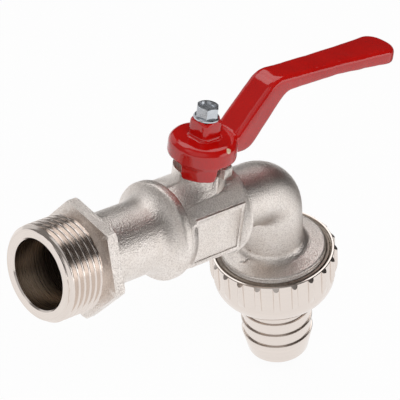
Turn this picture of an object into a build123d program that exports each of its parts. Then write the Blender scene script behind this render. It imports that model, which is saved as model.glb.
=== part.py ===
from build123d import *
import os
from math import acos, asin, cos, degrees, radians, sin, sqrt, tan

os.makedirs("parts", exist_ok=True)

# A lever bib tap. All sizes are in millimetres.
# The origin is the centre of the inlet thread where it meets the hexagon.
# X runs into the tap along the inlet axis, Z runs up the stem.

# Where the three axes lie
ball_x = 52.8            # stem axis, from the hexagon's front face
spout_reach = 37.2       # from the stem axis to where the spout axis crosses the inlet axis
spout_tilt = 14.2        # degrees the spout leans forward of straight down

# Clearances
running = 0.05           # a shaft that turns in its hole
static_gap = 0.05        # between pieces that are screwed or pressed together
open_gap = 0.35          # between round faces of pieces that move past each other

# Inlet adapter
inlet_thread_r = 33.249 / 2
inlet_thread_len = 16.6
inlet_end_chamfer = 1.2
mouth_r = 12.1
mouth_depth = 17.4
mouth_bevel = 0.5
way_in_r = 9.2
way_in_cone = 3.0
hex_flat = 35.2
hex_t = 4.2
hex_turn = 9.0           # degrees
hex_corner_cut = 0.6
neck_r = 12.7
neck_fillet = 1.5
flare_back = 10.6        # the neck starts to widen this far before the collar's end face
flare_r = 8.0
rim_r = 1.6
collar_r = 17.42
collar_edge = 0.6
seam_back = 16.4         # from the stem axis to the collar's end face
spigot_r = 12.75
spigot_bevel = 0.5
adapter_groove_in = 1.2  # from the collar's end face
adapter_groove_w = 1.7
adapter_groove_depth = 1.5

# Ball and seats
ball_r = 11.2
way_r = 7.6
slot_w = 5.0
slot_floor = 8.8
seat_back = 10.2         # from the ball's centre
seat_nose = 6.0
seat_r = 12.0
seat_bore_r = 7.8
seat_bevel = 0.8

# Body
body_r = 16.2
body_front_bevel = 0.6
chamber_r = 12.2
ring_ahead = 10.2        # from the stem axis to the raised ring at the chamber's end
ring_t = 2.3
ring_r = 16.9
shoulder_len = 4.2
tube_r = 11.25
bend_r = 12.0
outlet_way_r = 8.0
flat_y = 14.2
flat_start = 3.4         # from the collar's end face
flat_stop = 0.4          # before the ring
pad_half = 9.2
field_margin = 1.4
field_depth = 0.3
boss_r = 9.3
boss_top = 20.0
lug_w = 5.0
lug_r = 11.2
lug_in_r = 7.2
lug_low = 19.5
lug_top = 23.4
lug_round = 1.6
open_lug_angle = -76.2
closed_lug_angle = 82.2
parting_w = 0.7
parting_h = 0.35

# Outlet collar, placed along the spout axis from its crossing with the inlet axis
collar_fillet_r = 3.4
outlet_disc_step = 1.755  # the disc's rim lies this far inside the thread
outlet_disc_s = 26.0
outlet_disc_round = 0.9
outlet_thread_r = 41.910 / 2
outlet_thread_s = 28.7
outlet_end_s = 38.5
outlet_bevel = 1.0

# Stem and its seals
stem_r = 4.0
tang_t = 4.8
tang_w = 7.8
tang_low = 9.0
shoulder_low = 11.7
shoulder_t = 1.3
shoulder_r = 5.6
washer_t = 0.8
stem_groove_low = 14.6
stem_groove_h = 1.3
stem_groove_depth = 0.9
packing_floor = 16.6
packing_t = 1.6
packing_r = 6.4
gland_top = 22.4
gland_flat = 11.0
square_w = 6.0
square_foot = 22.8
stem_top = 37.8
screw_hole_r = 2.0
screw_hole_low = 27.0

# Lever, heights from the inlet axis, lengths from the stem axis
hub_r = 11.9
hub_low = 24.5
hub_top = 31.4
hub_top_round = 2.8
hub_low_round = 2.5
hub_hollow_r = 8.4
hub_hollow_depth = 1.3
skirt_low = 18.9
skirt_in_r = 9.7
skirt_out_r = 11.0
skirt_root_r = 11.6
skirt_root_z = 26.2
skirt_start = -172.0
skirt_arc = 68.0
skirt_corner = 1.2
block_w = 8.9
block_corner = 2.0
block_top = 38.3
block_cone = 40.0        # degrees, turned on the block's top
block_cone_r = 4.2
arm_slope = 47.5         # degrees
arm_foot_x = 12.2        # where the arm's top leaves the hub
arm_foot_z = 32.1
arm_heel_x = 17.4        # lower end of the arm's underside
arm_heel_z = 22.9
arm_heel_round = 8.0
arm_root_x = 9.0         # inner end of the arm, inside the hub
arm_root_z = 24.3        # its underside there, clear over the stop lugs
arm_half = 6.3
bend_top_x = 26.4
bend_top_round = 9.0
bend_low_round = 5.0
grip_start_x = 32.5
grip_low_z = 41.4
waist_x = 58.0
waist_half = 6.1
waist_low_z = 41.4
paddle_x = 81.0
tip_half = 8.0
tip_round = 6.0
tip_x = 88.7
tip_top_z = 45.1
tip_low_z = 39.4
lever_edge = 2.0
lever_low_edge = 0.8

# Lever screw
flange_r = 4.43
flange_t = 0.9
screw_flat = 7.0
screw_top = 42.9
screw_dish_r = 2.7
screw_dish = 0.7
screw_corner_cut = 0.5
screw_r = 1.95
screw_low = 28.0

# Union nut, gasket and hose tail, placed along the spout axis
nut_top_s = 28.4
nut_wall = 1.345         # over the thread
nut_mouth_gap = 0.545
nut_mouth_bevel = 0.4
nut_edge = 0.2
nut_dome_s = 39.7
nut_end_s = 49.0
nut_end_wall = 1.4       # round the tail's barbs, at the nut's lower end
nut_lip_t = 3.8
nut_ribs = 21
nut_rib_r = 1.25
nut_rib_sink = 0.2       # of the ribs' centres inside the wall
nut_rib_run_out = 4.6    # length over which the ribs die away above the dome
nut_rib_turn = 12.0      # degrees
gasket_t = 2.5
gasket_in_r = 9.0
gasket_inset = 0.2
tail_flange_inset = 2.355  # of the flange inside the thread
barb_r = 13.2
barb_root_r = 12.3
barb_first_s = 55.2
barb_pitch = 5.54
barb_land = 0.4
tail_end_s = 76.0
tail_end_r = 11.2
tail_round = 1.4
tail_bore_r = 8.7

# Places along the inlet axis that follow the stem
spout_x = ball_x + spout_reach
seam_x = ball_x - seam_back
flare_x = seam_x - flare_back
adapter_groove_x = seam_x + adapter_groove_in
ring_x = ball_x + ring_ahead
chamber_end_x = ring_x + ring_t
flat_x0 = seam_x + flat_start
flat_x1 = ring_x - flat_stop

# Sizes of the union that follow its thread
outlet_disc_r = outlet_thread_r - outlet_disc_step
nut_r = outlet_thread_r + nut_wall
nut_mouth_r = outlet_thread_r + nut_mouth_gap
nut_end_r = barb_r + nut_end_wall
tail_flange_r = outlet_thread_r - tail_flange_inset
gasket_r = tail_flange_r - gasket_inset

# Planes and axes used by several pieces
tilt = radians(spout_tilt)
spout_dir = (sin(tilt), 0, -cos(tilt))
spout_out = (cos(tilt), 0, sin(tilt))
spout_plane = Plane(origin=(spout_x, 0, 0), x_dir=spout_out, z_dir=spout_dir)
spout_side = Plane(origin=(spout_x, 0, 0), x_dir=spout_out, z_dir=(0, 1, 0))
spout_axis = Axis((spout_x, 0, 0), spout_dir)
stem_side = Plane(origin=(ball_x, 0, 0), x_dir=(1, 0, 0), z_dir=(0, -1, 0))
stem_axis = Axis((ball_x, 0, 0), (0, 0, 1))
lever_plan = Plane(origin=(ball_x, 0, 0), x_dir=(1, 0, 0), z_dir=(0, 0, 1))

# Inlet adapter: a turned piece with a hexagon
spigot_end_x = ball_x - seat_back - static_gap
flare_angle = acos(1 - (collar_r - neck_r) / (flare_r + rim_r))
hex_r = hex_flat / 2 / cos(radians(30))
adapter_groove_r = spigot_r - adapter_groove_depth
with BuildPart() as inlet_adapter:
    with BuildSketch(Plane.XZ):
        with BuildLine():
            thread = Polyline(
                (-inlet_thread_len, mouth_r + mouth_bevel),
                (-inlet_thread_len, inlet_thread_r - inlet_end_chamfer),
                (-inlet_thread_len + inlet_end_chamfer, inlet_thread_r),
                (hex_t, inlet_thread_r),
                (hex_t, neck_r + neck_fillet),
            )
            root = JernArc(thread @ 1, (0, -1), neck_fillet, 90)
            neck = Line(root @ 1, (flare_x, neck_r))
            flare = JernArc(neck @ 1, (1, 0), flare_r, degrees(flare_angle))
            rim = JernArc(flare @ 1, flare % 1, rim_r, -degrees(flare_angle))
            land = Line(rim @ 1, (seam_x - collar_edge, collar_r))
            edge = JernArc(land @ 1, (1, 0), collar_edge, -90)
            Polyline(
                edge @ 1,
                (seam_x, spigot_r),
                (adapter_groove_x, spigot_r),
                (adapter_groove_x, adapter_groove_r),
                (adapter_groove_x + adapter_groove_w, adapter_groove_r),
                (adapter_groove_x + adapter_groove_w, spigot_r),
                (spigot_end_x - spigot_bevel, spigot_r),
                (spigot_end_x, spigot_r - spigot_bevel),
                (spigot_end_x, way_in_r),
                (mouth_depth - inlet_thread_len + way_in_cone, way_in_r),
                (mouth_depth - inlet_thread_len, mouth_r),
                (-inlet_thread_len + mouth_bevel, mouth_r),
                (-inlet_thread_len, mouth_r + mouth_bevel),
            )
        make_face()
    revolve(axis=Axis.X)
    with BuildSketch(Plane.YZ):
        RegularPolygon(hex_r, 6, rotation=hex_turn)
        Circle(neck_r + neck_fillet, mode=Mode.SUBTRACT)
    extrude(amount=hex_t)
    with BuildSketch(Plane.XZ):
        Polygon(
            (0, hex_r - hex_corner_cut),
            (0, hex_r + 1),
            ((hex_corner_cut + 1) * tan(radians(30)), hex_r + 1),
            align=None,
        )
        Polygon(
            (hex_t, hex_r - hex_corner_cut),
            (hex_t, hex_r + 1),
            (hex_t - (hex_corner_cut + 1) * tan(radians(30)), hex_r + 1),
            align=None,
        )
    revolve(axis=Axis.X, mode=Mode.SUBTRACT)
inlet_adapter.part.label = "inlet_adapter"
export_step(inlet_adapter.part, "parts/inlet_adapter.step")

# Ring that seals the adapter in the body
body_spigot_r = spigot_r + static_gap
adapter_ring_r = (body_spigot_r - adapter_groove_r) / 2 - static_gap / 2
with BuildPart() as adapter_o_ring:
    with BuildSketch(Plane.XZ):
        with Locations((adapter_groove_x + adapter_groove_w / 2, (body_spigot_r + adapter_groove_r) / 2)):
            Circle(adapter_ring_r)
    revolve(axis=Axis.X)
adapter_o_ring.part.label = "adapter_o_ring"
export_step(adapter_o_ring.part, "parts/adapter_o_ring.step")

# Ball with its through way and the slot that the stem's tang turns it by
with BuildPart() as ball:
    with Locations((ball_x, 0, 0)):
        Sphere(ball_r)
        Cylinder(way_r, 3 * ball_r, rotation=(0, 90, 0), mode=Mode.SUBTRACT)
    with BuildSketch(Plane.XY.offset(slot_floor)):
        with Locations((ball_x, 0)):
            Rectangle(slot_w, 2 * ball_r)
    extrude(amount=ball_r, mode=Mode.SUBTRACT)
ball.part.label = "ball"
export_step(ball.part, "parts/ball.step")

# The two seats: rings with a hollow sphere face against the ball
seat_sphere = ball_r + running
seat_mid = (asin(seat_bore_r / seat_sphere) + acos(seat_nose / seat_sphere)) / 2
with BuildPart() as outlet_seat:
    with BuildSketch(Plane.XZ):
        with BuildLine():
            cup = ThreePointArc(
                (ball_x + sqrt(seat_sphere**2 - seat_bore_r**2), seat_bore_r),
                (ball_x + seat_sphere * cos(seat_mid), seat_sphere * sin(seat_mid)),
                (ball_x + seat_nose, sqrt(seat_sphere**2 - seat_nose**2)),
            )
            Polyline(
                cup @ 1,
                (ball_x + seat_nose, seat_r - seat_bevel),
                (ball_x + seat_nose + seat_bevel, seat_r),
                (ball_x + seat_back, seat_r),
                (ball_x + seat_back, seat_bore_r),
                cup @ 0,
            )
        make_face()
    revolve(axis=Axis.X)
outlet_seat.part.label = "outlet_seat"
export_step(outlet_seat.part, "parts/outlet_seat.step")

with BuildPart() as inlet_seat:
    mirror(outlet_seat.part, about=Plane.YZ.offset(ball_x))
inlet_seat.part.label = "inlet_seat"
export_step(inlet_seat.part, "parts/inlet_seat.step")

# Body: one casting of chamber, stem boss, bent spout and outlet collar
bend_turn = 90 - spout_tilt
bend_start_x = spout_x - bend_r * tan(radians(bend_turn / 2))
seat_floor_x = ball_x + seat_back + static_gap
flat_mid_x = (flat_x0 + flat_x1) / 2
flat_len = flat_x1 - flat_x0
washer_top = shoulder_low + shoulder_t + washer_t + static_gap
with BuildPart() as body:
    # chamber barrel with its end ring and the shoulder down to the spout tube
    with BuildSketch(Plane.XZ) as barrel:
        with BuildLine():
            Polyline(
                (seam_x + static_gap, 0),
                (seam_x + static_gap, body_r - body_front_bevel),
                (seam_x + static_gap + body_front_bevel, body_r),
                (ring_x, body_r),
                (ring_x, ring_r),
                (chamber_end_x, ring_r),
                (chamber_end_x + shoulder_len / 2, tube_r),
                (chamber_end_x + 2 * shoulder_len, tube_r),
                (chamber_end_x + 2 * shoulder_len, 0),
                close=True,
            )
        make_face()
        fillet(barrel.vertices().filter_by_position(Axis.X, chamber_end_x, chamber_end_x), 0.7)
        shoulder_x = chamber_end_x + shoulder_len / 2
        fillet(barrel.vertices().filter_by_position(Axis.X, shoulder_x, shoulder_x), shoulder_len / 2)
    revolve(axis=Axis.X)
    # side flats, each with a low pad and a sunk field
    for side in (1, -1):
        with BuildSketch(Plane.XZ.offset(side * flat_y)):
            with Locations((flat_mid_x, 0)):
                Rectangle(flat_len, 2 * ring_r)
        extrude(amount=side * ring_r, mode=Mode.SUBTRACT)
        with BuildSketch(Plane.XZ.offset(side * flat_y)):
            with Locations((flat_mid_x, 0)):
                Rectangle(flat_len, 2 * pad_half)
        extrude(amount=-side * flat_y / 2)
        with BuildSketch(Plane.XZ.offset(side * flat_y)):
            with Locations((flat_mid_x, 0)):
                Rectangle(flat_len - 2 * field_margin, 2 * (pad_half - field_margin))
        extrude(amount=-side * field_depth, mode=Mode.SUBTRACT)
    # parting line left on top of the casting
    with BuildSketch(Plane.XY):
        with Locations(((seam_x + ball_x) / 2, 0)):
            Rectangle(ball_x - seam_x - 2 * body_front_bevel, parting_w)
    extrude(amount=body_r + parting_h)
    # stem boss and its two stop lugs
    with BuildSketch(lever_plan):
        Circle(boss_r)
    extrude(amount=boss_top)
    with BuildSketch(lever_plan.offset(lug_low)):
        for angle in (open_lug_angle, closed_lug_angle):
            with PolarLocations((lug_r + lug_in_r) / 2, 1, start_angle=angle):
                Rectangle(lug_r - lug_in_r, lug_w)
    extrude(amount=lug_top - lug_low)
    fillet(body.edges().group_by(Axis.Z)[-1].sort_by_distance((ball_x, 0, lug_top))[-2:], lug_round)
    # bent spout tube
    with BuildLine(Plane.XZ):
        run = Line((chamber_end_x, 0), (bend_start_x, 0))
        bend = JernArc(run @ 1, (1, 0), bend_r, -bend_turn)
        Line(bend @ 1, (spout_x + outlet_disc_s * sin(tilt), -outlet_disc_s * cos(tilt)))
    with BuildSketch(Plane.YZ.offset(chamber_end_x)):
        Circle(tube_r)
    sweep()
    # outlet collar and its plain thread land
    with BuildSketch(spout_side) as collar:
        with BuildLine():
            sweep_in = JernArc((tube_r, outlet_disc_s - collar_fillet_r), (0, 1), collar_fillet_r, -90)
            Polyline(
                sweep_in @ 1,
                (outlet_disc_r, outlet_disc_s + 0.6),
                (outlet_disc_r, outlet_thread_s),
                (outlet_thread_r - outlet_bevel / 2, outlet_thread_s),
                (outlet_thread_r, outlet_thread_s + outlet_bevel / 2),
                (outlet_thread_r, outlet_end_s - outlet_bevel),
                (outlet_thread_r - outlet_bevel, outlet_end_s),
                (0, outlet_end_s),
                (0, outlet_disc_s - collar_fillet_r),
                sweep_in @ 0,
            )
        make_face()
        edge_s = outlet_disc_s + 0.6
        fillet(collar.vertices().filter_by_position(Axis.Y, edge_s, edge_s), outlet_disc_round)
    revolve(axis=spout_axis)
    # parting line left down the corner between spout and collar
    with BuildSketch(spout_side):
        with BuildLine():
            fin = JernArc(
                (-tube_r - parting_h, outlet_disc_s - collar_fillet_r),
                (0, 1),
                collar_fillet_r - parting_h,
                90,
            )
            Polyline(
                fin @ 1,
                (-tube_r - collar_fillet_r, outlet_disc_s),
                (-tube_r, outlet_disc_s),
                (-tube_r, outlet_disc_s - collar_fillet_r),
                fin @ 0,
            )
        make_face()
    extrude(amount=parting_w / 2, both=True)
    # inside: adapter socket, chamber and seat floor
    with BuildSketch(Plane.XZ):
        with BuildLine():
            Polyline(
                (seam_x - 1, 0),
                (seam_x - 1, body_spigot_r),
                (spigot_end_x + static_gap, body_spigot_r),
                (spigot_end_x + static_gap, chamber_r),
                (seat_floor_x, chamber_r),
                (seat_floor_x, 0),
                close=True,
            )
        make_face()
    revolve(axis=Axis.X, mode=Mode.SUBTRACT)
    # water way through the spout
    with BuildLine(Plane.XZ):
        run_in = Line((seat_floor_x - 1, 0), (bend_start_x, 0))
        bend_in = JernArc(run_in @ 1, (1, 0), bend_r, -bend_turn)
        Line(bend_in @ 1, (spout_x + (outlet_end_s + 1) * sin(tilt), -(outlet_end_s + 1) * cos(tilt)))
    with BuildSketch(Plane.YZ.offset(seat_floor_x - 1)):
        Circle(outlet_way_r)
    sweep(mode=Mode.SUBTRACT)
    # stepped hole for the stem, its washer, packing and gland nut
    with BuildSketch(stem_side):
        with BuildLine():
            Polyline(
                (0, slot_floor),
                (shoulder_r + 4 * static_gap, slot_floor),
                (shoulder_r + 4 * static_gap, washer_top),
                (stem_r + running, washer_top),
                (stem_r + running, packing_floor),
                (packing_r, packing_floor),
                (packing_r, boss_top + 1),
                (0, boss_top + 1),
                close=True,
            )
        make_face()
    revolve(axis=stem_axis, mode=Mode.SUBTRACT)
body.part.label = "body"
export_step(body.part, "parts/body.step")

# Stem: tang in the ball, shoulder, ring groove, square top with a screw hole
stem_groove_r = stem_r - stem_groove_depth
with BuildPart() as stem:
    with BuildSketch(stem_side):
        with BuildLine():
            Polyline(
                (0, shoulder_low),
                (shoulder_r, shoulder_low),
                (shoulder_r, shoulder_low + shoulder_t),
                (stem_r, shoulder_low + shoulder_t),
                (stem_r, stem_groove_low),
                (stem_groove_r, stem_groove_low),
                (stem_groove_r, stem_groove_low + stem_groove_h),
                (stem_r, stem_groove_low + stem_groove_h),
                (stem_r, stem_top),
                (0, stem_top),
                close=True,
            )
        make_face()
    revolve(axis=stem_axis)
    with BuildSketch(lever_plan.offset(tang_low)):
        Rectangle(tang_t, tang_w)
    extrude(amount=shoulder_low - tang_low)
    with BuildSketch(lever_plan.offset(square_foot)):
        Circle(2 * stem_r)
        Rectangle(square_w, square_w, mode=Mode.SUBTRACT)
    extrude(amount=stem_top, mode=Mode.SUBTRACT)
    with BuildSketch(lever_plan.offset(screw_hole_low)):
        Circle(screw_hole_r)
    extrude(amount=stem_top, mode=Mode.SUBTRACT)
stem.part.label = "stem"
export_step(stem.part, "parts/stem.step")

# Slip washer on the stem's shoulder
with BuildPart() as thrust_washer:
    with BuildSketch(lever_plan.offset(shoulder_low + shoulder_t + static_gap / 2)):
        Circle(shoulder_r)
        Circle(stem_r + running, mode=Mode.SUBTRACT)
    extrude(amount=washer_t)
thrust_washer.part.label = "thrust_washer"
export_step(thrust_washer.part, "parts/thrust_washer.step")

# Ring in the stem's groove
stem_ring_r = (stem_r - stem_groove_r) / 2
with BuildPart() as stem_o_ring:
    with BuildSketch(stem_side):
        with Locations(((stem_r + stem_groove_r) / 2, stem_groove_low + stem_groove_h / 2)):
            Circle(stem_ring_r - static_gap / 2)
    revolve(axis=stem_axis)
stem_o_ring.part.label = "stem_o_ring"
export_step(stem_o_ring.part, "parts/stem_o_ring.step")

# Packing ring in the boss
with BuildPart() as stem_packing:
    with BuildSketch(lever_plan.offset(packing_floor + static_gap)):
        Circle(packing_r - static_gap)
        Circle(stem_r + running, mode=Mode.SUBTRACT)
    extrude(amount=packing_t)
stem_packing.part.label = "stem_packing"
export_step(stem_packing.part, "parts/stem_packing.step")

# Gland nut: threaded foot in the boss, hexagon above it
gland_low = packing_floor + packing_t + 2 * static_gap
with BuildPart() as gland_nut:
    with BuildSketch(lever_plan.offset(gland_low)):
        Circle(packing_r - static_gap)
        Circle(stem_r + running, mode=Mode.SUBTRACT)
    extrude(amount=boss_top - gland_low)
    with BuildSketch(lever_plan.offset(boss_top)):
        RegularPolygon(gland_flat / 2, 6, major_radius=False)
        Circle(stem_r + running, mode=Mode.SUBTRACT)
    extrude(amount=gland_top - boss_top)
gland_nut.part.label = "gland_nut"
export_step(gland_nut.part, "parts/gland_nut.step")

# Lever: cranked arm, hub, stop skirt and square block in one casting
slope = tan(radians(arm_slope))
bend_top_z = arm_foot_z + (bend_top_x - arm_foot_x) * slope
skirt_turn = radians(skirt_start)
skirt_plane = Plane(
    origin=(ball_x, 0, 0),
    x_dir=(cos(skirt_turn), sin(skirt_turn), 0),
    z_dir=(sin(skirt_turn), -cos(skirt_turn), 0),
)
with BuildPart() as lever:
    with BuildSketch(stem_side) as arm_side:
        with BuildLine():
            Polyline(
                (arm_root_x, arm_foot_z - (arm_foot_x - arm_root_x) * slope),
                (bend_top_x, bend_top_z),
                (tip_x, tip_top_z),
                (tip_x, tip_low_z),
                (waist_x, waist_low_z),
                (grip_start_x, grip_low_z),
                (arm_heel_x, arm_heel_z),
                (arm_root_x, arm_root_z),
                close=True,
            )
        make_face()
        fillet(arm_side.vertices().filter_by_position(Axis.X, bend_top_x, bend_top_x), bend_top_round)
        fillet(arm_side.vertices().filter_by_position(Axis.X, grip_start_x, grip_start_x), bend_low_round)
        fillet(arm_side.vertices().filter_by_position(Axis.X, arm_heel_x, arm_heel_x), arm_heel_round)
    extrude(amount=hub_r, both=True)
    with BuildSketch(lever_plan) as arm_plan:
        with BuildLine():
            side = ThreePointArc((0, arm_half), (waist_x, waist_half), (tip_x, tip_half))
            mirror(about=Plane.XZ)
            Line(side @ 1, (tip_x, -tip_half))
            Line(side @ 0, (0, -arm_half))
        make_face()
        fillet(arm_plan.vertices().group_by(Axis.X)[-1], tip_round)
    extrude(amount=2 * bend_top_z, mode=Mode.INTERSECT)
    tops = lever.faces().filter_by(lambda f: f.normal_at().Z > 0.3)
    rails = tops.edges().filter_by(lambda e: e.center().Y**2 > 1 or e.center().X > ball_x + paddle_x)
    fillet(rails, lever_edge)
    unders = lever.faces().filter_by(lambda f: f.normal_at().Z < -0.3)
    low_rails = unders.edges().filter_by(lambda e: e.center().Y**2 > 1 or e.center().X > ball_x + paddle_x)
    fillet(low_rails, lever_low_edge)
    # hub with a hollow underside
    with BuildSketch(stem_side) as hub:
        with BuildLine():
            Polyline(
                (0, hub_low + hub_hollow_depth),
                (hub_hollow_r, hub_low + hub_hollow_depth),
                (hub_hollow_r, hub_low),
                (hub_r, hub_low),
                (hub_r, hub_top),
                (0, hub_top),
                close=True,
            )
        make_face()
        rim_corners = hub.vertices().group_by(Axis.X)[-1].sort_by(Axis.Y)
        fillet(rim_corners[-1], hub_top_round)
        fillet(rim_corners[0], hub_low_round)
    revolve(axis=stem_axis)
    # stop skirt
    with BuildSketch(skirt_plane):
        with BuildLine():
            Polyline(
                (skirt_in_r, skirt_low),
                (skirt_out_r, skirt_low),
                (skirt_root_r, skirt_root_z),
                (skirt_in_r, skirt_root_z),
                close=True,
            )
        make_face()
    revolve(axis=stem_axis, revolution_arc=skirt_arc)
    skirt_ends = lever.edges().filter_by(lambda e: abs(e.center().Z - skirt_low) < 0.01)
    fillet(skirt_ends.filter_by(GeomType.LINE), skirt_corner)
    # square block that takes the screw
    with BuildSketch(lever_plan.offset(hub_top - 1)):
        RectangleRounded(block_w, block_w, block_corner)
    extrude(amount=block_top - hub_top + 1)
    with BuildSketch(stem_side):
        Polygon(
            (block_cone_r, block_top),
            (block_w, block_top),
            (block_w, block_top - (block_w - block_cone_r) * tan(radians(block_cone))),
            align=None,
        )
    revolve(axis=stem_axis, mode=Mode.SUBTRACT)
    # square hole on the stem
    with BuildSketch(lever_plan):
        Rectangle(square_w + 2 * static_gap, square_w + 2 * static_gap)
    extrude(amount=2 * block_top, mode=Mode.SUBTRACT)
lever.part.label = "lever"
export_step(lever.part, "parts/lever.step")

# Lever screw: hexagon head with a flange and a dished top
head_foot = block_top + flange_t
head_r = screw_flat / 2 / cos(radians(30))
with BuildPart() as lever_screw:
    with BuildSketch(lever_plan.offset(screw_low)):
        Circle(screw_r)
    extrude(amount=block_top - screw_low)
    with BuildSketch(stem_side):
        with BuildLine():
            Polyline(
                (0, block_top),
                (flange_r, block_top),
                (flange_r, block_top + flange_t / 2),
                (head_r, head_foot),
                (0, head_foot),
                close=True,
            )
        make_face()
    revolve(axis=stem_axis)
    with BuildSketch(lever_plan.offset(block_top)):
        RegularPolygon(head_r, 6, rotation=-135)
    extrude(amount=screw_top - block_top)
    with BuildSketch(stem_side):
        with BuildLine():
            Polyline(
                (head_r - screw_corner_cut, screw_top),
                (head_r + 1, screw_top),
                (head_r + 1, screw_top - (screw_corner_cut + 1) * tan(radians(35))),
                close=True,
            )
        make_face()
        with BuildLine():
            Polyline(
                (0, screw_top - screw_dish),
                (screw_dish_r - screw_dish / 2, screw_top - screw_dish),
                (screw_dish_r, screw_top),
                (0, screw_top),
                close=True,
            )
        make_face()
    revolve(axis=stem_axis, mode=Mode.SUBTRACT)
lever_screw.part.label = "lever_screw"
export_step(lever_screw.part, "parts/lever_screw.step")

# Union nut: round with ribs outside, open at the top, with a lip that holds the tail
nut_bore_r = outlet_thread_r + open_gap
nut_floor_s = nut_end_s - nut_lip_t
nut_lip_r = barb_r + open_gap + static_gap
nut_cavity_r = tail_flange_r + open_gap
gasket_s = outlet_end_s + static_gap
tail_top_s = gasket_s + gasket_t
dome_r = ((nut_r - nut_end_r) ** 2 + (nut_end_s - nut_dome_s) ** 2) / (2 * (nut_r - nut_end_r))
dome_mid = asin((nut_end_s - nut_dome_s) / dome_r) / 2
rib_s = nut_top_s + nut_edge
rib_centre_r = nut_r - nut_rib_sink
rib_reach = rib_centre_r + nut_rib_r
with BuildPart() as union_nut:
    # half-round ribs, bevelled at the top, that die away towards the dome
    with BuildSketch(spout_plane.offset(rib_s)):
        with PolarLocations(rib_centre_r, nut_ribs, start_angle=nut_rib_turn):
            Circle(nut_rib_r)
    extrude(amount=nut_dome_s - rib_s)
    with BuildSketch(spout_side):
        with BuildLine():
            flank = Line((rib_reach, rib_s + rib_reach - nut_r), (rib_reach, nut_dome_s - nut_rib_run_out))
            run_out = TangentArc(flank @ 1, (nut_r, nut_dome_s), tangent=(0, 1))
            Polyline(
                run_out @ 1,
                (0, nut_dome_s),
                (0, rib_s),
                (nut_r, rib_s),
                flank @ 0,
            )
        make_face()
    revolve(axis=spout_axis, mode=Mode.INTERSECT)
    # wall and dome
    with BuildSketch(spout_side):
        with BuildLine():
            dome = ThreePointArc(
                (nut_r, nut_dome_s),
                (nut_r - dome_r * (1 - cos(dome_mid)), nut_dome_s + dome_r * sin(dome_mid)),
                (nut_end_r, nut_end_s),
            )
            Polyline(
                dome @ 1,
                (0, nut_end_s),
                (0, nut_top_s),
                (nut_r - nut_edge, nut_top_s),
                (nut_r, nut_top_s + nut_edge),
                dome @ 0,
            )
        make_face()
    revolve(axis=spout_axis)
    # inside: mouth, thread, room for the gasket and flange, hole for the tail
    with BuildSketch(spout_side):
        with BuildLine():
            Polyline(
                (0, nut_top_s),
                (nut_mouth_r, nut_top_s),
                (nut_bore_r, nut_top_s + nut_mouth_bevel),
                (nut_bore_r, tail_top_s),
                (nut_cavity_r, tail_top_s),
                (nut_cavity_r, nut_floor_s),
                (nut_lip_r, nut_floor_s),
                (nut_lip_r, nut_end_s),
                (0, nut_end_s),
                close=True,
            )
        make_face()
    revolve(axis=spout_axis, mode=Mode.SUBTRACT)
union_nut.part.label = "union_nut"
export_step(union_nut.part, "parts/union_nut.step")

# Flat gasket between the outlet and the tail
with BuildPart() as union_gasket:
    with BuildSketch(spout_plane.offset(gasket_s)):
        Circle(gasket_r)
        Circle(gasket_in_r, mode=Mode.SUBTRACT)
    extrude(amount=gasket_t)
union_gasket.part.label = "union_gasket"
export_step(union_gasket.part, "parts/union_gasket.step")

# Hose tail: flange inside the nut, then three barbs and a tapered end
tail_floor_s = nut_floor_s - 2 * static_gap
barb_2_s = barb_first_s + barb_pitch
barb_3_s = barb_2_s + barb_pitch
with BuildPart() as hose_tail:
    with BuildSketch(spout_side) as tail_half:
        with BuildLine():
            Polyline(
                (tail_bore_r, tail_top_s),
                (tail_flange_r, tail_top_s),
                (tail_flange_r, tail_floor_s),
                (barb_root_r, tail_floor_s),
                (barb_root_r, barb_first_s - barb_r + barb_root_r),
                (barb_r, barb_first_s),
                (barb_r, barb_first_s + barb_land),
                (barb_root_r, barb_2_s - barb_r + barb_root_r),
                (barb_r, barb_2_s),
                (barb_r, barb_2_s + barb_land),
                (barb_root_r, barb_3_s - barb_r + barb_root_r),
                (barb_r, barb_3_s),
                (barb_r, barb_3_s + barb_land),
                (tail_end_r, tail_end_s),
                (tail_bore_r, tail_end_s),
                close=True,
            )
        make_face()
        fillet(tail_half.vertices().group_by(Axis.Y)[-1].sort_by(Axis.X)[-1], tail_round)
    revolve(axis=spout_axis)
hose_tail.part.label = "hose_tail"
export_step(hose_tail.part, "parts/hose_tail.step")
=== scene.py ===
import math

import bmesh
import bpy
from mathutils import Matrix, Vector


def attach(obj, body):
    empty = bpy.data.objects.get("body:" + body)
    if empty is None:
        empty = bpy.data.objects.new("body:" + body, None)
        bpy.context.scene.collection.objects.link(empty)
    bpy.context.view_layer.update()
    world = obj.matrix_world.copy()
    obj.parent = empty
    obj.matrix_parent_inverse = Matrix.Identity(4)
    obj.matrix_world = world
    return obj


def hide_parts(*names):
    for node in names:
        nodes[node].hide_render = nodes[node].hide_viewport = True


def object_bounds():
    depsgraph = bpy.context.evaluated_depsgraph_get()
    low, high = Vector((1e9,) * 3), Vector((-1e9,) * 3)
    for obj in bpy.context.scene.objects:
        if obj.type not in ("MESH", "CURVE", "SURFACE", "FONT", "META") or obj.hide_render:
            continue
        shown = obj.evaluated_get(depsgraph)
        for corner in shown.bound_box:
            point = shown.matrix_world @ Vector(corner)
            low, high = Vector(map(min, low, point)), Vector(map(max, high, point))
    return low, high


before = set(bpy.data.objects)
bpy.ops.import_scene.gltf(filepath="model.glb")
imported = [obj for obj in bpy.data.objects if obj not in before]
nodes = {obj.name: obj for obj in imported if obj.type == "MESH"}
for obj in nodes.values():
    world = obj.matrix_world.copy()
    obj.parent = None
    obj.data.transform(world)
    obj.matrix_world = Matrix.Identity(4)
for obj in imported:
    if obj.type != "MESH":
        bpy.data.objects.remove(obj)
cad_low, cad_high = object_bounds()

MM = 0.001

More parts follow.
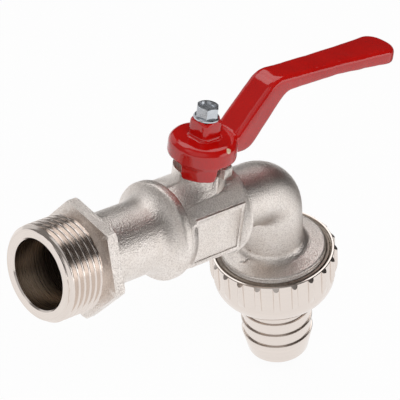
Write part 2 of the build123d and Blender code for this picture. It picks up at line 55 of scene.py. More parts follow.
# Sizes in millimetres, the same as those of the solids
BALL_X = 52.8
SPOUT_X = 90.0
SPOUT_TILT = math.radians(14.2)
PITCH = 2.309
INLET_R = 33.249 / 2
INLET_LEN = 16.6
OUTLET_R = 41.910 / 2
OUTLET_TOP = 28.7
OUTLET_END = 38.5
OUTLET_BEVEL = 1.0
DISC_R = OUTLET_R - 1.755

# Form of the threads: depth, steepness and rounding of the flanks, and the stretch over which they fade in
THREAD_DEPTH = 1.479
FLANK_STEEP = 1.5
FLANK_ROUND = 0.35
THREAD_FADE = 0.8

SPOUT_DIR = Vector((math.sin(SPOUT_TILT), 0, -math.cos(SPOUT_TILT)))
SPOUT_OUT = Vector((math.cos(SPOUT_TILT), 0, math.sin(SPOUT_TILT)))
SPOUT_SIDE = SPOUT_DIR.cross(SPOUT_OUT)
SPOUT_ORIGIN = Vector((SPOUT_X, 0, 0))


# Shader helpers

def fill(tree, socket, value):
    """Links a node's output to a socket, or sets a plain value on it."""
    if isinstance(value, bpy.types.NodeSocket):
        tree.links.new(value, socket)
    elif socket.type == "RGBA":
        socket.default_value = (*value, 1)
    else:
        socket.default_value = value


def new_material(name):
    mat = bpy.data.materials.new(name)
    mat.use_nodes = True
    tree = mat.node_tree
    tree.nodes.clear()
    out = tree.nodes.new("ShaderNodeOutputMaterial")
    shader = tree.nodes.new("ShaderNodeBsdfPrincipled")
    tree.links.new(shader.outputs["BSDF"], out.inputs["Surface"])
    coords = tree.nodes.new("ShaderNodeTexCoord")
    return mat, tree, shader, coords.outputs["Object"]


def noise(tree, vector, scale, detail=2.0, rough=0.5):
    node = tree.nodes.new("ShaderNodeTexNoise")
    node.inputs["Scale"].default_value = scale
    node.inputs["Detail"].default_value = detail
    node.inputs["Roughness"].default_value = rough
    tree.links.new(vector, node.inputs["Vector"])
    return node.outputs["Fac"]


def ramp(tree, factor, stops):
    """Colour ramp; a stop's colour may be a single grey value."""
    node = tree.nodes.new("ShaderNodeValToRGB")
    band = node.color_ramp
    while len(band.elements) < len(stops):
        band.elements.new(0.5)
    for element, (place, colour) in zip(band.elements, stops):
        element.position = place
        if not isinstance(colour, tuple):
            colour = (colour, colour, colour)
        element.color = (*colour, 1)
    tree.links.new(factor, node.inputs["Fac"])
    return node.outputs["Color"]


def drive(tree, socket, factor, stops):
    """Colour ramp that sets a shader's socket."""
    tree.links.new(ramp(tree, factor, stops), socket)


def maths(tree, kind, a, b):
    node = tree.nodes.new("ShaderNodeMath")
    node.operation = kind
    fill(tree, node.inputs[0], a)
    fill(tree, node.inputs[1], b)
    return node.outputs["Value"]


def vectors(tree, kind, a, b=None, result="Vector"):
    node = tree.nodes.new("ShaderNodeVectorMath")
    node.operation = kind
    fill(tree, node.inputs[0], a)
    if b is not None:
        fill(tree, node.inputs[1], b)
    return node.outputs[result]


def mixed(tree, factor, a, b, kind="MIX"):
    node = tree.nodes.new("ShaderNodeMix")
    node.data_type = "RGBA"
    node.blend_type = kind
    sockets = {socket.name: socket for socket in node.inputs if socket.enabled}
    fill(tree, sockets["Factor"], factor)
    fill(tree, sockets["A"], a)
    fill(tree, sockets["B"], b)
    return [socket for socket in node.outputs if socket.enabled][0]


def smooth(tree, value, start, stop):
    """0 before start, 1 after stop, with a soft step between them."""
    edge = tree.nodes.new("ShaderNodeMapRange")
    edge.interpolation_type = "SMOOTHSTEP"
    edge.inputs["From Min"].default_value = start
    edge.inputs["From Max"].default_value = stop
    tree.links.new(value, edge.inputs["Value"])
    return edge.outputs["Result"]


def facing(tree, vector, direction, start, stop):
    """1 towards that direction, 0 away from it."""
    aim = vectors(tree, "DOT_PRODUCT", vector, Vector(direction).normalized(), "Value")
    return smooth(tree, aim, start, stop)


def axis_radius(tree, vector, origin, direction):
    """Distance of a point from an axis, and its place along it, in millimetres."""
    shift = vectors(tree, "SUBTRACT", vector, origin)
    along = vectors(tree, "DOT_PRODUCT", shift, direction, "Value")
    across = vectors(tree, "CROSS_PRODUCT", shift, direction)
    size = vectors(tree, "LENGTH", across, result="Value")
    return maths(tree, "MULTIPLY", size, 1 / MM), maths(tree, "MULTIPLY", along, 1 / MM)


def bump(tree, shader, height, strength, distance):
    node = tree.nodes.new("ShaderNodeBump")
    node.inputs["Strength"].default_value = strength
    node.inputs["Distance"].default_value = distance
    tree.links.new(height, node.inputs["Height"])
    tree.links.new(node.outputs["Normal"], shader.inputs["Normal"])


# Materials

def cast_nickel():
    """Shot-blasted casting under nickel: fine bright grain."""
    mat, tree, shader, at = new_material("cast_nickel")
    grain = noise(tree, at, scale=2000.0, detail=1.5, rough=0.6)
    patch = noise(tree, at, scale=150.0)
    base = ramp(tree, grain, [
        (0.33, (0.72, 0.66, 0.62)),
        (0.5, (0.87, 0.81, 0.765)),
        (0.66, (0.95, 0.895, 0.85)),
    ])
    tint = ramp(tree, patch, [(0.35, (0.96, 0.945, 0.93)), (0.65, (1.0, 0.995, 0.99))])
    tree.links.new(mixed(tree, 1.0, base, tint, "MULTIPLY"), shader.inputs["Base Color"])
    drive(tree, shader.inputs["Roughness"], patch, [(0.3, 0.37), (0.7, 0.32)])
    shader.inputs["Metallic"].default_value = 1.0
    bump(tree, shader, grain, strength=1.0, distance=0.24 * MM)
    return mat


def turned_nickel(name, axis_origin, axis_dir):
    """Machined nickel: shiny, a little warm, with fine turning lines round its axis."""
    light = (0.82, 0.74, 0.685)
    dark = tuple(0.93 * c for c in light)
    lines_per_mm = 3.1
    mat, tree, shader, at = new_material(name)
    radius, place = axis_radius(tree, at, axis_origin, axis_dir)
    line = tree.nodes.new("ShaderNodeCombineXYZ")
    tree.links.new(maths(tree, "MULTIPLY", radius, lines_per_mm), line.inputs["X"])
    tree.links.new(maths(tree, "MULTIPLY", place, lines_per_mm), line.inputs["Y"])
    turning = noise(tree, line.outputs["Vector"], scale=1.0, detail=3.0)
    patch = noise(tree, at, scale=180.0, detail=3.0)
    drive(tree, shader.inputs["Base Color"], turning, [(0.3, dark), (0.7, light)])
    drive(tree, shader.inputs["Roughness"], patch, [(0.3, 0.13), (0.7, 0.23)])
    shader.inputs["Metallic"].default_value = 1.0
    bump(tree, shader, turning, strength=0.12, distance=0.05 * MM)
    return mat


def bore_nickel_and_shade():
    """Insides: thinly plated, with clear turning rings; their brown is partly the plating and partly
    painted shade.
    """
    mat, tree, shader, at = new_material("bore_nickel_and_shade")
    place = axis_radius(tree, at, (0, 0, 0), (1, 0, 0))[1]
    line = tree.nodes.new("ShaderNodeCombineXYZ")
    tree.links.new(place, line.inputs["X"])
    rings = noise(tree, line.outputs["Vector"], scale=1.6, detail=3.0, rough=0.6)
    brown, pale = (0.37, 0.31, 0.26), (0.64, 0.56, 0.48)
    drive(tree, shader.inputs["Base Color"], rings, [(0.35, brown), (0.65, pale)])
    drive(tree, shader.inputs["Roughness"], rings, [(0.3, 0.22), (0.7, 0.36)])
    shader.inputs["Metallic"].default_value = 1.0
    bump(tree, shader, rings, strength=0.4, distance=0.1 * MM)
    return mat


def red_enamel():
    """Thick glossy stove enamel with a slight orange peel."""
    primer = (0.72, 0.56, 0.38)
    chip_place = (0.0538, -0.0112, 0.0304)
    chip_ragged = 0.8 * MM
    chip_inner, chip_outer = 1.2 * MM, 1.5 * MM
    mat, tree, shader, at = new_material("red_enamel")
    peel = noise(tree, at, scale=300.0, detail=1.0)
    cloud = noise(tree, at, scale=70.0)
    base = ramp(tree, cloud, [(0.3, (0.52, 0.003, 0.002)), (0.7, (0.60, 0.005, 0.003))])
    # a chip in the enamel at the hub's rim shows the pale primer
    off = vectors(tree, "DISTANCE", at, chip_place, "Value")
    uneven = maths(tree, "MULTIPLY", noise(tree, at, scale=900.0), chip_ragged)
    sound = smooth(tree, maths(tree, "ADD", off, uneven), chip_inner, chip_outer)
    tree.links.new(mixed(tree, sound, primer, base), shader.inputs["Base Color"])
    drive(tree, shader.inputs["Roughness"], cloud, [(0.3, 0.05), (0.7, 0.10)])
    shader.inputs["Specular IOR Level"].default_value = 0.75
    bump(tree, shader, peel, strength=0.08, distance=0.3 * MM)
    return mat


def plain_finish(name, dark, light, rough, scale, metallic, strength, distance):
    """Finish of the small pieces: one fine grain in colour, gloss and height."""
    mat, tree, shader, at = new_material(name)
    grain = noise(tree, at, scale, detail=3.0)
    drive(tree, shader.inputs["Base Color"], grain, [(0.3, dark), (0.7, light)])
    drive(tree, shader.inputs["Roughness"], grain, [(0.3, rough[0]), (0.7, rough[1])])
    shader.inputs["Metallic"].default_value = metallic
    bump(tree, shader, grain, strength, distance)
    return mat


def plain_metal(name, dark, light, rough, scale):
    return plain_finish(name, dark, light, rough, scale, metallic=1.0, strength=0.15, distance=0.05 * MM)


def plain_soft(name, dark, light, rough, scale):
    return plain_finish(name, dark, light, rough, scale, metallic=0.0, strength=0.2, distance=0.1 * MM)


CAST = cast_nickel()
INLET_TURNED = turned_nickel("inlet_turned", (0, 0, 0), (1, 0, 0))
SPOUT_TURNED = turned_nickel("spout_turned", SPOUT_ORIGIN * MM, SPOUT_DIR)
# bore finish: thin plating, darkened to brown as painted shade
BORE_AND_PAINTED_SHADE = bore_nickel_and_shade()
RED = red_enamel()
ZINC = plain_metal("zinc_steel", (0.55, 0.58, 0.62), (0.66, 0.69, 0.73), (0.24, 0.32), 500.0)
BRASS = plain_metal("plain_brass", (0.50, 0.36, 0.16), (0.70, 0.54, 0.28), (0.28, 0.4), 900.0)
CHROME = plain_metal("chrome_ball", (0.70, 0.70, 0.71), (0.80, 0.80, 0.81), (0.04, 0.09), 300.0)
# painted shade: a dark brown finish for the gap under the disc
PAINTED_SHADE = plain_metal("painted_shade_groove", (0.24, 0.20, 0.17), (0.40, 0.34, 0.29), (0.35, 0.5), 700.0)
WHITE = plain_soft("white_plastic", (0.80, 0.80, 0.78), (0.87, 0.87, 0.86), (0.4, 0.5), 500.0)
RUBBER = plain_soft("black_rubber", (0.012, 0.012, 0.012), (0.03, 0.03, 0.03), (0.5, 0.65), 900.0)


# Lathe: rings of points round an axis, whose radius may change with the angle

LATHE_SHARP = math.radians(35)


def on_inlet(r, angle, s):
    return (s, r * math.cos(angle), r * math.sin(angle))


def on_spout(r, angle, s):
    p = SPOUT_ORIGIN + SPOUT_DIR * s
    p += SPOUT_OUT * (r * math.cos(angle)) + SPOUT_SIDE * (r * math.sin(angle))
    return tuple(p)


def new_object(name, mesh):
    obj = bpy.data.objects.new(name, mesh)
    bpy.context.scene.collection.objects.link(obj)
    return obj


def lathe(name, rings, angles, place, materials):
    """rings: (radius or function of angle, place along the axis, material of the band after it)."""
    count = len(angles)
    verts = []
    for radius, s, _ in rings:
        for angle in angles:
            r = radius(angle) if callable(radius) else radius
            x, y, z = place(r, angle, s)
            verts.append((x * MM, y * MM, z * MM))
    faces, kinds = [], []
    for i in range(len(rings)):
        k = (i + 1) % len(rings)
        for j in range(count):
            m = (j + 1) % count
            faces.append((i * count + j, i * count + m, k * count + m, k * count + j))
            kinds.append(rings[i][2])
    mesh = bpy.data.meshes.new(name)
    mesh.from_pydata(verts, [], faces)
    for mat in materials:
        mesh.materials.append(mat)
    mesh.polygons.foreach_set("material_index", kinds)
    volume = sum(mesh.vertices[p.vertices[0]].co.dot(p.normal) * p.area for p in mesh.polygons)
    if volume < 0:
        mesh.flip_normals()
    mesh.shade_smooth()
    mesh.set_sharp_from_angle(angle=LATHE_SHARP)
    return new_object(name, mesh)


def arc(centre_s, centre_r, radius, start, stop, count):
    """Points (r, s) on an arc; angles in degrees from the axis direction."""
    points = []
    for i in range(count + 1):
        a = math.radians(start + (stop - start) * i / count)
        points.append((centre_r + radius * math.sin(a), centre_s + radius * math.cos(a)))
    return points


def bands(points, kind):
    """Rings through points (r, s), all followed by the same material."""
    return [(r, s, kind) for r, s in points]


def spread(start, stop, rows):
    """Evenly spaced places from start to stop."""
    return [start + (stop - start) * i / rows for i in range(rows + 1)]


def between(value, low, high):
    return min(max(value, low), high)


def thread_drop(s, angle):
    """Depth below the crest of a rounded 55 degree thread."""
    turn = (s / PITCH - angle / (2 * math.pi)) % 1.0
    flank = between((abs(2 * turn - 1) - 0.5) * FLANK_STEEP + 0.5, 0.0, 1.0)
    eased = flank * flank * (3 - 2 * flank)
    height = eased * FLANK_ROUND + flank * (1 - FLANK_ROUND)
    return THREAD_DEPTH * (1 - height)


def turned_angles(count, turn=0.0):
    return [2 * math.pi * j / count + turn for j in range(count)]


# Inlet adapter

ADAPTER_POINTS = 252
INLET_CHAMFER = 1.2
INLET_ROWS = 170
RELIEF_R = 15.1
RELIEF_START = -1.7
RELIEF_SLOPE = 1.6
HEX_FLAT = 35.2
HEX_T = 4.2
HEX_TURN = math.radians(9.0)
HEX_R = HEX_FLAT / 2 / math.cos(math.radians(30))
HEX_CUT = 0.6
HEX_BEVEL = math.radians(30)
HEX_STEPS = (0.0, 0.12, 0.25, 0.4, 0.6, 1.0)  # places from either face
NECK_R = 12.7
NECK_FILLET = 1.5
NECK_RINGS = (12.0, 19.0)
COLLAR_R = 17.42
COLLAR_EDGE = 0.6
SEAM_X = 36.4
FLARE_X = SEAM_X - 10.6
FLARE_R = 8.0
RIM_R = 1.6
SPIGOT_R = 12.75
SPIGOT_END = 42.55
SPIGOT_BEVEL = 0.5
GROOVE_R = 11.25
GROOVE_X0 = 37.6
GROOVE_X1 = 39.3
WATERWAY_R = 9.2
WATERWAY_X = 3.8
MOUTH_R = 12.1
MOUTH_X = 0.8
MOUTH_BEVEL = 0.5
MOUTH_RINGS = 33
MOUTH_RING_START = 0.3
MOUTH_RING_STEP = 0.5
MOUTH_RING_DEPTH = 0.05


def hex_radius(angle):
    step = math.radians(60)
    turn = (angle - HEX_TURN) % step - step / 2
    return HEX_FLAT / 2 / math.cos(turn)


def hex_ring(s):
    """The hexagon with its corners turned off towards both faces."""
    depth = min(s, HEX_T - s)
    cone = HEX_R - HEX_CUT + depth / math.tan(HEX_BEVEL)
    return lambda angle: min(hex_radius(angle), cone)


def inlet_ring(s):
    """The inlet thread between its end chamfer and the relief beside the hexagon."""
    chamfer = INLET_R - INLET_CHAMFER + (s + INLET_LEN)
    relief = RELIEF_R + max(RELIEF_START - s, 0.0) * RELIEF_SLOPE
    return lambda angle: min(INLET_R - thread_drop(s, angle), chamfer, relief)


def build_adapter():
    turned, rough, bore_and_shade = range(3)
    rings = [(MOUTH_R + MOUTH_BEVEL, -INLET_LEN, turned)]
    rings += [(inlet_ring(s), s, turned) for s in spread(-INLET_LEN, 0.0, INLET_ROWS)]
    rings[-1] = (*rings[-1][:2], rough)
    hex_places = [*HEX_STEPS, HEX_T / 2, *(HEX_T - s for s in reversed(HEX_STEPS))]
    rings += [(hex_ring(s), s, rough) for s in hex_places]
    rings += bands(arc(HEX_T + NECK_FILLET, NECK_R + NECK_FILLET, NECK_FILLET, 180, 270, 6), rough)
    rings += [(NECK_R, s, rough) for s in NECK_RINGS]
    turn = math.acos(1 - (COLLAR_R - NECK_R) / (FLARE_R + RIM_R))
    flare_turn = math.degrees(turn)
    rings += bands(arc(FLARE_X, NECK_R + FLARE_R, FLARE_R, 270, 270 + flare_turn, 12), rough)
    rim_x = FLARE_X + (FLARE_R + RIM_R) * math.sin(turn)
    rings += bands(arc(rim_x, COLLAR_R - RIM_R, RIM_R, 90 + flare_turn, 90, 7)[1:], rough)
    # the seam's rounding takes the darker bore finish: painted shade along the seam to the body
    seam = arc(SEAM_X - COLLAR_EDGE, COLLAR_R - COLLAR_EDGE, COLLAR_EDGE, 90, 0, 4)
    rings += bands(seam[:1], rough) + bands(seam[1:], bore_and_shade)
    rings += bands([
        (SPIGOT_R, SEAM_X),
        (SPIGOT_R, GROOVE_X0),
        (GROOVE_R, GROOVE_X0),
        (GROOVE_R, GROOVE_X1),
        (SPIGOT_R, GROOVE_X1),
        (SPIGOT_R, SPIGOT_END - SPIGOT_BEVEL),
        (SPIGOT_R - SPIGOT_BEVEL, SPIGOT_END),
    ], turned)
    # the waterway and mouth take the bore finish, partly painted shade
    rings += bands([(WATERWAY_R, SPIGOT_END), (WATERWAY_R, WATERWAY_X), (MOUTH_R, MOUTH_X)], bore_and_shade)
    for i in range(MOUTH_RINGS):
        rings.append((MOUTH_R + MOUTH_RING_DEPTH * (i % 2), MOUTH_RING_START - i * MOUTH_RING_STEP, bore_and_shade))
    rings.append((MOUTH_R, MOUTH_BEVEL - INLET_LEN, turned))
    angles = turned_angles(ADAPTER_POINTS, HEX_TURN)
    obj = lathe("inlet_adapter_dressed", rings, angles, on_inlet, [INLET_TURNED, CAST, BORE_AND_PAINTED_SHADE])
    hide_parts("inlet_adapter")
    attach(obj, "tap_body")


# Union nut, placed along the spout axis

GASKET_T = 2.5
GASKET_GAP = 0.05
TAIL_TOP = OUTLET_END + GASKET_GAP + GASKET_T
NUT_TOP = 28.4
NUT_R = OUTLET_R + 1.345
NUT_EDGE = 0.2
NUT_RINGS = (31.0, 33.0)
NUT_DOME = 39.7
NUT_DOME_ROWS = 24
NUT_DOME_CROWD = 0.8  # under 1: rings stand closer towards the end
NUT_END = 49.0
NUT_END_R = 14.6
NUT_LIP_R = 13.6
NUT_FLOOR = 45.2
NUT_CAVITY_R = 18.95
NUT_BORE_R = OUTLET_R + 0.35
NUT_MOUTH_R = OUTLET_R + 0.545
NUT_MOUTH_DEPTH = 0.4
NUT_THREAD_ROWS = 110
RIBS = 21
RIB_R = 1.25
RIB_CENTRE_R = NUT_R - 0.2
RIB_REACH = RIB_CENTRE_R + RIB_R
RIB_TURN = math.radians(12.0)
RIB_POINTS = 14
RIB_GAP_POINTS = 6
RIB_ROWS = 12
RUN_OUT = 4.6


def rib_angles():
    """Angles round the nut, close together over each rib, with the rib's own radius."""
    angles, radii = [], []
    step = 2 * math.pi / RIBS
    edge = math.acos((RIB_CENTRE_R**2 + NUT_R**2 - RIB_R**2) / (2 * RIB_CENTRE_R * NUT_R))
    for k in range(RIBS):
        middle = RIB_TURN + k * step
        for degrees in spread(-90, 90, RIB_POINTS):
            off = edge * math.sin(math.radians(degrees))
            bow = math.sqrt(RIB_R**2 - (RIB_CENTRE_R * math.sin(off)) ** 2)
            angles.append(middle + off)
            radii.append(max(RIB_CENTRE_R * math.cos(off) + bow, NUT_R))
        for i in range(1, RIB_GAP_POINTS):
            angles.append(middle + edge + (step - 2 * edge) * i / RIB_GAP_POINTS)
            radii.append(NUT_R)
    return angles, radii


def nut_thread(s):
    fade = between((s - NUT_TOP - NUT_MOUTH_DEPTH) / THREAD_FADE, 0.0, 1.0)
    return lambda angle: NUT_BORE_R - fade * thread_drop(s, angle)


def build_nut():
    turned, bore_and_shade = range(2)
    angles, radii = rib_angles()
    rib = dict(zip(angles, radii))

    def ribbed(limit):
        return lambda angle: min(limit, rib[angle])

    rings = [(NUT_R - NUT_EDGE, NUT_TOP, turned), (NUT_R, NUT_TOP + NUT_EDGE, turned)]
    # the ribs rise by a cone and run out in a curve
    proud = RIB_REACH - NUT_R
    for out in spread(0.0, proud, RIB_ROWS)[1:]:
        rings.append((ribbed(NUT_R + out), NUT_TOP + NUT_EDGE + out, turned))
    for s in (*NUT_RINGS, NUT_DOME - RUN_OUT):
        rings.append((ribbed(RIB_REACH), s, turned))
    curve = (proud**2 + RUN_OUT**2) / (2 * proud)
    for down in spread(0.0, RUN_OUT, RIB_ROWS)[1:-1]:
        reach = RIB_REACH - curve + math.sqrt(curve**2 - down**2)
        rings.append((ribbed(reach), NUT_DOME - RUN_OUT + down, turned))
    drop = NUT_R - NUT_END_R
    run = NUT_END - NUT_DOME
    dome_r = (drop**2 + run**2) / (2 * drop)
    for part in spread(0.0, 1.0, NUT_DOME_ROWS):
        down = run * part**NUT_DOME_CROWD
        rings.append((NUT_R - dome_r + math.sqrt(dome_r**2 - down**2), NUT_DOME + down, turned))
    # the nut's insides take the bore finish, partly painted shade
    rings += bands([
        (NUT_LIP_R, NUT_END),
        (NUT_LIP_R, NUT_FLOOR),
        (NUT_CAVITY_R, NUT_FLOOR),
        (NUT_CAVITY_R, TAIL_TOP + NUT_MOUTH_DEPTH),
    ], bore_and_shade)
    for s in spread(TAIL_TOP, NUT_TOP + NUT_MOUTH_DEPTH, NUT_THREAD_ROWS):
        rings.append((nut_thread(s), s, bore_and_shade))
    rings.append((NUT_MOUTH_R, NUT_TOP, turned))
    obj = lathe("union_nut_dressed", rings, angles, on_spout, [SPOUT_TURNED, BORE_AND_PAINTED_SHADE])
    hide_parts("union_nut")
    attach(obj, "nut")


# Hose tail, placed along the spout axis

TAIL_POINTS = 160
TAIL_BORE_R = 8.7
TAIL_FLANGE_R = 18.6
TAIL_FLANGE_END = 45.1
TAIL_END = 76.0
TAIL_ROUND = 1.4
TAIL_ROUND_R = 10.066  # radius at which the end's round has its centre
TAIL_ROUND_START = 78
BARBS = 3
BARB_START = 55.2
BARB_PITCH = 5.54
BARB_R = 13.2
BARB_ROOT = 12.6
BARB_LEDGE = 0.22
BARB_LAND = 0.4


def build_tail():
    """Hose tail with flat ledges above its barbs, each with a small round at its edge."""
    turned, bore_and_shade = range(2)
    rings = bands([
        (TAIL_BORE_R, TAIL_TOP),
        (TAIL_FLANGE_R, TAIL_TOP),
        (TAIL_FLANGE_R, TAIL_FLANGE_END),
        (BARB_ROOT, TAIL_FLANGE_END),
    ], turned)
    for i in range(BARBS):
        barb = BARB_START + i * BARB_PITCH
        rings.append((BARB_ROOT, barb - BARB_LEDGE, turned))
        rings += bands(arc(barb, BARB_R - BARB_LEDGE, BARB_LEDGE, 180, 90, 5), turned)
        rings.append((BARB_R, barb + BARB_LAND, turned))
    rings += bands(arc(TAIL_END - TAIL_ROUND, TAIL_ROUND_R, TAIL_ROUND, TAIL_ROUND_START, 0, 7), turned)
    # the tail's bore takes the bore finish, partly painted shade
    rings.append((TAIL_BORE_R, TAIL_END, bore_and_shade))
    obj = lathe("hose_tail_dressed", rings, turned_angles(TAIL_POINTS), on_spout, [SPOUT_TURNED, BORE_AND_PAINTED_SHADE])
    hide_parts("hose_tail")
    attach(obj, "hose_end")


# Pieces that start from a copy of their solid

WELD = 0.0002 * MM


def copy_solid(node, name, materials):
    """A new object with the solid's mesh, its doubled points joined."""
    mesh = nodes[node].data.copy()
    mesh.materials.clear()
    for mat in materials:
        mesh.materials.append(mat)
    bm = bmesh.new()
    bm.from_mesh(mesh)
    bmesh.ops.remove_doubles(bm, verts=bm.verts, dist=WELD)
    bm.to_mesh(mesh)
    bm.free()
    return new_object(name, mesh)


def bake(obj):
    """Applies the modifiers of a new piece."""
    graph = bpy.context.evaluated_depsgraph_get()
    done = bpy.data.meshes.new_from_object(obj.evaluated_get(graph))
    obj.modifiers.clear()
    old = obj.data
    obj.data = done
    bpy.data.meshes.remove(old)


# Body

GAP_DEPTH = 1.2
GAP_MARGIN = 0.1
DISC_MARGIN = 0.05
CUT_REACH = 1.0
CUT_TOP = OUTLET_TOP - 0.05
CUT_END = OUTLET_END + 0.6
CUT_ROWS = 110
CUT_POINTS = 240
CUT_SHALLOWEST = 0.25
BODY_SHARP = math.radians(25)
FLAT_AREA = 20 * MM**2
FLAT_COMPACT = 0.02
FLAT_ANGLE = 0.05


def outlet_ring(s):
    fade = between((s - OUTLET_TOP) / THREAD_FADE, CUT_SHALLOWEST, 1.0)
    end = OUTLET_R - OUTLET_BEVEL + max(OUTLET_END - s, 0.0)
    return lambda angle: min(OUTLET_R - fade * thread_drop(s, angle), end)


def finish_outlet(mesh, turned, painted_shade):
    """The outlet's thread is turned; its first stretch, in the gap under the disc, takes a dark finish
    that is painted shade.
    """
    for face in mesh.polygons:
        off = face.center / MM - SPOUT_ORIGIN
        s = off.dot(SPOUT_DIR)
        r = (off - SPOUT_DIR * s).length
        if s > OUTLET_TOP - GAP_MARGIN and r > DISC_R + DISC_MARGIN:
            face.material_index = turned if s > OUTLET_TOP + GAP_DEPTH else painted_shade


def keep_flats(mesh):
    """Edges of the wide flat faces stay crisp."""
    bm = bmesh.new()
    bm.from_mesh(mesh)
    wide = set()
    for face in bm.faces:
        area = face.calc_area()
        if area > FLAT_AREA and area > FLAT_COMPACT * face.calc_perimeter() ** 2:
            wide.add(face)
    for edge in bm.edges:
        if len(edge.link_faces) != 2 or not wide.intersection(edge.link_faces):
            continue
        if edge.calc_face_angle() > FLAT_ANGLE:
            edge.smooth = False
    bm.to_mesh(mesh)
    bm.free()


def build_body():
    """The casting with its outlet thread cut in."""
    obj = copy_solid("body", "body_dressed", [CAST, SPOUT_TURNED, PAINTED_SHADE])
    rings = [(OUTLET_R + CUT_REACH, CUT_END, 0), (OUTLET_R + CUT_REACH, CUT_TOP, 0)]
    rings += [(outlet_ring(s), s, 0) for s in spread(CUT_TOP, CUT_END, CUT_ROWS)]
    cutter = lathe("outlet_thread_cutter", rings, turned_angles(CUT_POINTS), on_spout, [SPOUT_TURNED])
    cut = obj.modifiers.new("thread", "BOOLEAN")
    cut.operation = "DIFFERENCE"
    cut.solver = "EXACT"
    cut.object = cutter
    bake(obj)
    bpy.data.objects.remove(cutter)
    mesh = obj.data
    # the first stretch of the outlet thread gets the painted shade finish
    finish_outlet(mesh, turned=1, painted_shade=2)
    mesh.shade_smooth()
    mesh.set_sharp_from_angle(angle=BODY_SHARP)
    keep_flats(mesh)
    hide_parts("body")
    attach(obj, "tap_body")


# Lever

SKIN_VOXEL = 0.45 * MM
SKIN_SMOOTH = 0.5
SKIN_ROUNDS = 10
UNEVEN_SIZE = 9 * MM
UNEVEN_HEIGHT = 0.4 * MM
UNEVEN_LEVEL = 0.65


def build_lever():
    """The lever under its thick enamel: soft edges and a slightly uneven skin."""
    obj = copy_solid("lever", "lever_dressed", [RED])
    skin = obj.modifiers.new("skin", "REMESH")
    skin.mode = "VOXEL"
    skin.voxel_size = SKIN_VOXEL
    round_off = obj.modifiers.new("round_off", "SMOOTH")
    round_off.factor = SKIN_SMOOTH
    round_off.iterations = SKIN_ROUNDS
    cloud = bpy.data.textures.new("uneven", "CLOUDS")
    cloud.noise_scale = UNEVEN_SIZE
    uneven = obj.modifiers.new("uneven", "DISPLACE")
    uneven.texture = cloud
    uneven.texture_coords = "LOCAL"
    uneven.strength = UNEVEN_HEIGHT
    uneven.mid_level = UNEVEN_LEVEL
    bake(obj)
    obj.data.shade_smooth()
    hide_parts("lever")
    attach(obj, "lever_set")


# Small and inner pieces keep their solids

FINISHES = {
    "lever_screw": ZINC,
    "union_gasket": RUBBER,
    "adapter_o_ring": RUBBER,
    "stem_o_ring": RUBBER,
    "stem_packing": WHITE,
    "thrust_washer": WHITE,
    "inlet_seat": WHITE,
    "outlet_seat": WHITE,
    "gland_nut": BRASS,
    "stem": BRASS,
    "ball": CHROME,
}


def paint(name, mat):
    mesh = nodes[name].data
    mesh.materials.clear()
    mesh.materials.append(mat)


build_adapter()
build_nut()
build_tail()
build_body()
build_lever()
for name, finish in FINISHES.items():
    paint(name, finish)


# Floor, world, lamp and camera, with places in metres

PURE_WHITE = (1.0, 1.0, 1.0)
FLOOR_HALF = 4.0
FLOOR_GAP = 0.004
FLOOR_Z = cad_low.z - FLOOR_GAP
FLOOR_COLOUR = (0.9, 0.9, 0.9)
FLOOR_GLOW = 0.96
SCREEN_COLOUR = (0.25, 0.24, 0.23)
SCREEN_CENTRE = (0.10, 0.0, FLOOR_Z)
SCREEN_HEADING = (1.0, 0.02, 0)
SCREEN_EDGE = (0.89, 0.97)
SCREEN_START = (0.10, 0.20)
SKY_RIGHT = (0.05, 0.047, 0.045)
SKY_LEFT = (0.20, 0.19, 0.185)
SKY_EDGE = (-0.45, 0.5)

# azimuth, elevation, half width and soft rim in degrees, and level
SOFT_BOXES = (
    (45, 63, 20, 7, 1.45),
    (100, 56, 9, 6, 1.8),
    (94, 18, 18, 9, 0.7),
    (-56, 2, 19, 8, 1.6),
    (172, 46, 12, 6, 0.8),
    (-150, 32, 20, 14, 0.5),
)

LAMP_PLACE = Vector((-0.35, -0.65, 1.0))
LAMP_TARGET = Vector((0.06, 0, 0))
LAMP_SIZE = 0.9
LAMP_ENERGY = 6.0

# camera: its axes, and its place in millimetres from the ball's centre
CAMERA_BACK = Vector((-0.6384, -0.5886, 0.4959))
CAMERA_SIDE = Vector((0.7204, -0.6837, 0.1159))
CAMERA_UP = Vector((0.2708, 0.4312, 0.8606))
CAMERA_OFF_SIDE = 2.29
CAMERA_OFF_UP = 5.33
CAMERA_DISTANCE = 725.36
CAMERA_LENS = 190.76
CAMERA_SENSOR = 36.0
CAMERA_CLIP = (0.05, 20.0)


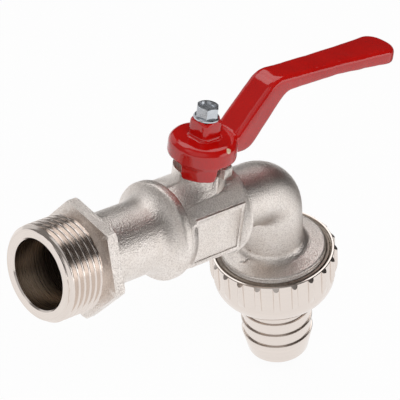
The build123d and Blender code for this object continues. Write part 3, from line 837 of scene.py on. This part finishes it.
def build_floor():
    """White for the camera, with the object's shadow kept; reflections also see a dark screen."""
    corners = [(x * FLOOR_HALF, y * FLOOR_HALF, FLOOR_Z) for x, y in ((-1, -1), (1, -1), (1, 1), (-1, 1))]
    mesh = bpy.data.meshes.new("floor")
    mesh.from_pydata(corners, [], [(0, 1, 2, 3)])
    mat = bpy.data.materials.new("floor")
    mat.use_nodes = True
    tree = mat.node_tree
    tree.nodes.clear()
    out = tree.nodes.new("ShaderNodeOutputMaterial")
    mix = tree.nodes.new("ShaderNodeMixShader")
    diffuse = tree.nodes.new("ShaderNodeBsdfDiffuse")
    diffuse.inputs["Color"].default_value = (*FLOOR_COLOUR, 1)
    glow = tree.nodes.new("ShaderNodeEmission")
    rays = tree.nodes.new("ShaderNodeLightPath").outputs
    # the screen lies on the table's right side
    at = tree.nodes.new("ShaderNodeTexCoord").outputs["Object"]
    away = vectors(tree, "SUBTRACT", at, SCREEN_CENTRE)
    heading = facing(tree, vectors(tree, "NORMALIZE", away), SCREEN_HEADING, *SCREEN_EDGE)
    reach = smooth(tree, vectors(tree, "LENGTH", away, result="Value"), *SCREEN_START)
    shown = mixed(tree, maths(tree, "MULTIPLY", heading, reach), PURE_WHITE, SCREEN_COLOUR)
    shown = mixed(tree, rays["Is Camera Ray"], shown, PURE_WHITE)
    tree.links.new(shown, glow.inputs["Color"])
    seen = maths(tree, "MAXIMUM", rays["Is Camera Ray"], rays["Is Glossy Ray"])
    seen = maths(tree, "MAXIMUM", seen, rays["Is Transmission Ray"])
    tree.links.new(maths(tree, "MULTIPLY", seen, FLOOR_GLOW), mix.inputs["Fac"])
    tree.links.new(diffuse.outputs["BSDF"], mix.inputs[1])
    tree.links.new(glow.outputs["Emission"], mix.inputs[2])
    tree.links.new(mix.outputs["Shader"], out.inputs["Surface"])
    mesh.materials.append(mat)
    new_object("floor", mesh)


def towards(azimuth, elevation):
    a, e = math.radians(azimuth), math.radians(elevation)
    return (math.cos(a) * math.cos(e), math.sin(a) * math.cos(e), math.sin(e))


def build_world():
    """A dim room, lighter on the left, with soft boxes round the object."""
    world = bpy.data.worlds.new("studio")
    bpy.context.scene.world = world
    world.use_nodes = True
    tree = world.node_tree
    tree.nodes.clear()
    out = tree.nodes.new("ShaderNodeOutputWorld")
    back = tree.nodes.new("ShaderNodeBackground")
    at = tree.nodes.new("ShaderNodeTexCoord").outputs["Generated"]
    sky = mixed(tree, facing(tree, at, (-1, 0, 0), *SKY_EDGE), SKY_RIGHT, SKY_LEFT)
    for azimuth, elevation, wide, soft, level in SOFT_BOXES:
        rim, inside = math.cos(math.radians(wide + soft)), math.cos(math.radians(wide))
        box = facing(tree, at, towards(azimuth, elevation), rim, inside)
        sky = mixed(tree, box, sky, (level, level, level))
    # the camera sees plain white past the floor's edge
    rays = tree.nodes.new("ShaderNodeLightPath").outputs
    sky = mixed(tree, rays["Is Camera Ray"], sky, PURE_WHITE)
    tree.links.new(sky, back.inputs["Color"])
    back.inputs["Strength"].default_value = 1.0
    tree.links.new(back.outputs["Background"], out.inputs["Surface"])


def build_lamp():
    """Soft light for the matt surfaces; the bright boxes that the metal mirrors are in the world."""
    data = bpy.data.lights.new("lamp", "AREA")
    data.shape = "DISK"
    data.size = LAMP_SIZE
    data.energy = LAMP_ENERGY
    obj = new_object("lamp", data)
    turn = (LAMP_PLACE - LAMP_TARGET).to_track_quat("Z", "Y").to_matrix()
    obj.matrix_world = Matrix.Translation(LAMP_PLACE) @ turn.to_4x4()
    obj.visible_glossy = False


def build_camera():
    """The camera that was fitted to the photograph."""
    eye = Vector((BALL_X, 0, 0)) + CAMERA_SIDE * CAMERA_OFF_SIDE
    eye += CAMERA_UP * CAMERA_OFF_UP
    eye += CAMERA_BACK * CAMERA_DISTANCE
    data = bpy.data.cameras.new("camera")
    data.sensor_width = CAMERA_SENSOR
    data.lens = CAMERA_LENS
    data.clip_start, data.clip_end = CAMERA_CLIP
    obj = new_object("camera", data)
    turn = Matrix((CAMERA_SIDE, CAMERA_UP, CAMERA_BACK)).transposed()
    obj.matrix_world = Matrix.Translation(eye * MM) @ turn.to_4x4()
    bpy.context.scene.camera = obj


build_floor()
build_world()
build_lamp()
build_camera()
bpy.context.scene.view_settings.view_transform = "Standard"
